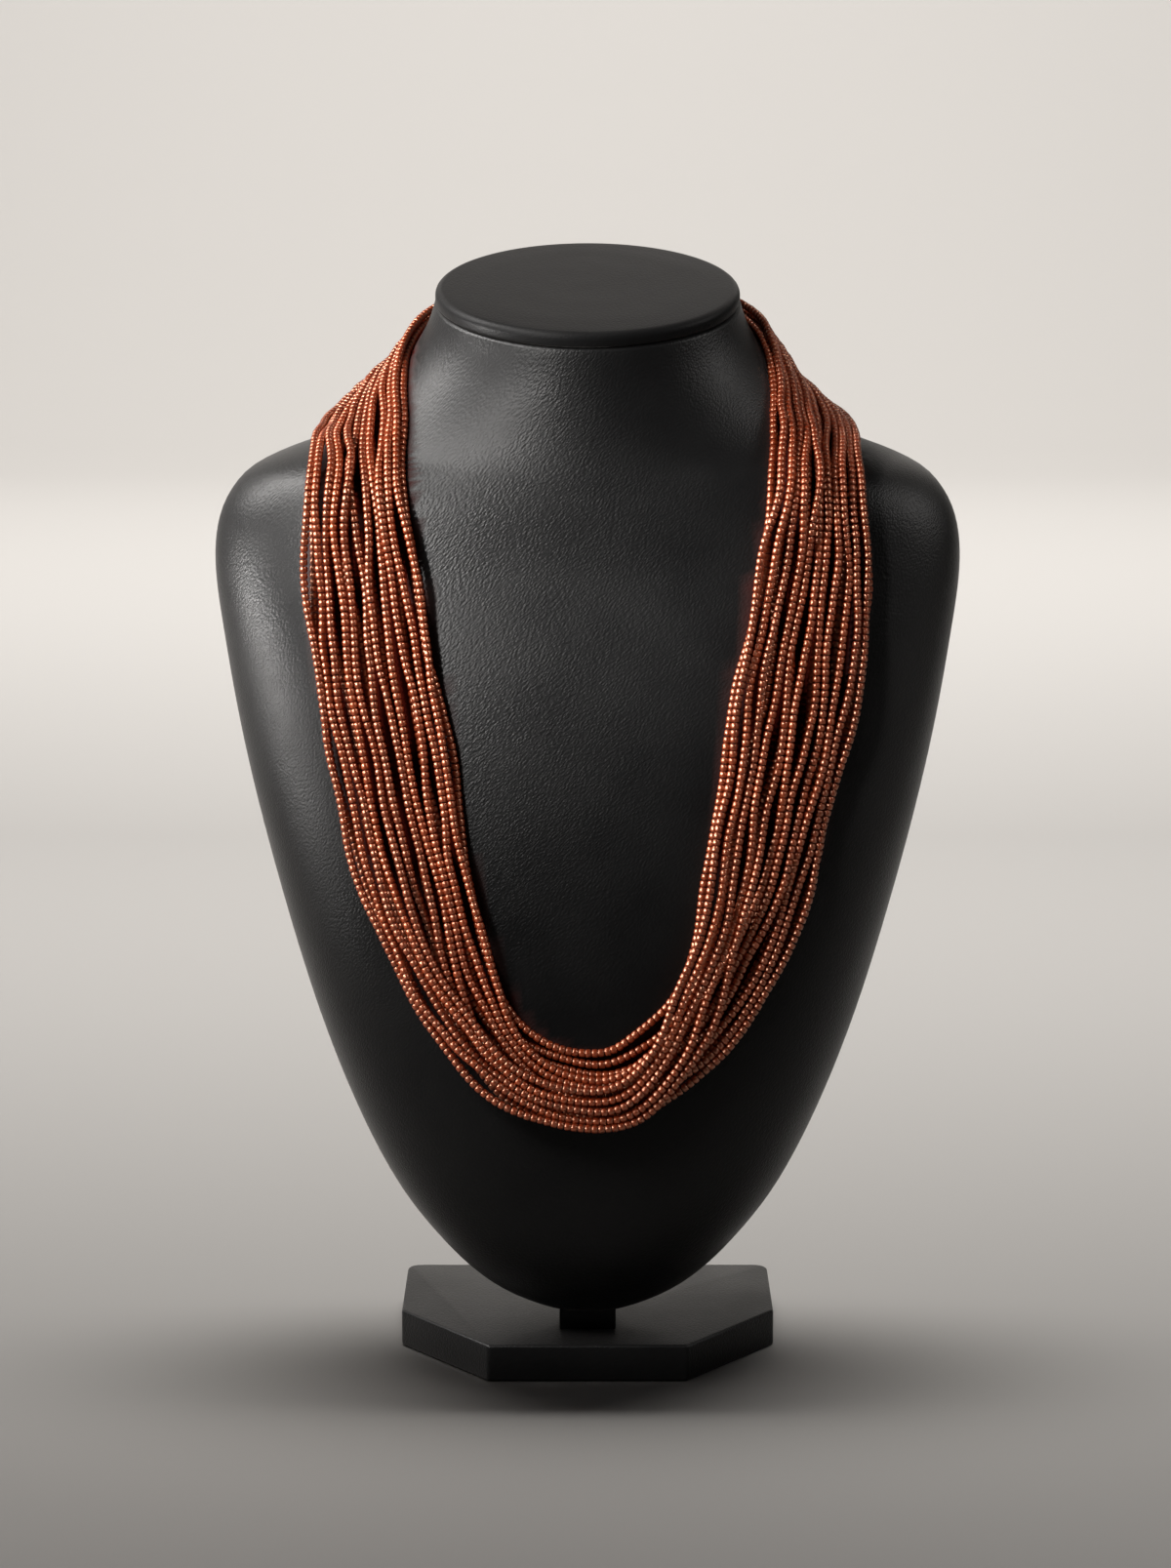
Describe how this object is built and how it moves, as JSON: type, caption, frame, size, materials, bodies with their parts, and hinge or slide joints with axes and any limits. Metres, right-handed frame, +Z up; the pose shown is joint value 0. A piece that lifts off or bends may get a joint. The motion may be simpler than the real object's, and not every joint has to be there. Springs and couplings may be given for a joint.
{
  "type": "multi strand necklace on neck bust",
  "caption": "Long multi strand necklace of copper-lined amber seed beads, draped in a broad flat band on a plain black leatherette neck bust with a base plate.",
  "frame": {"origin": "middle of the base's underside, on the surface that the stand rests on", "axes": "+Z up along the bust, +X to the right as the chest is seen from the front, +Y towards the back; the chest faces -Y"},
  "size_m": [0.2114, 0.1208, 0.3147],
  "materials": {
    "leatherette": "fine pebbled grain, satin black",
    "seed_beads": "transparent amber glass lined with copper, bright highlights",
    "clasp_metal": "satin copper-toned metal"
  },
  "bodies": {
    "root": {"base": "leatherette", "post": "leatherette", "bust": "leatherette", "neck_cap": "leatherette", "clasp": "clasp_metal", "strand_01": "seed_beads", "strand_02": "seed_beads", "strand_03": "seed_beads", "strand_04": "seed_beads", "strand_05": "seed_beads", "strand_06": "seed_beads", "strand_07": "seed_beads", "strand_08": "seed_beads", "strand_09": "seed_beads", "strand_10": "seed_beads", "strand_11": "seed_beads", "strand_12": "seed_beads", "strand_13": "seed_beads", "strand_14": "seed_beads", "strand_15": "seed_beads", "strand_16": "seed_beads", "strand_17": "seed_beads"}
  },
  "joints": []
}
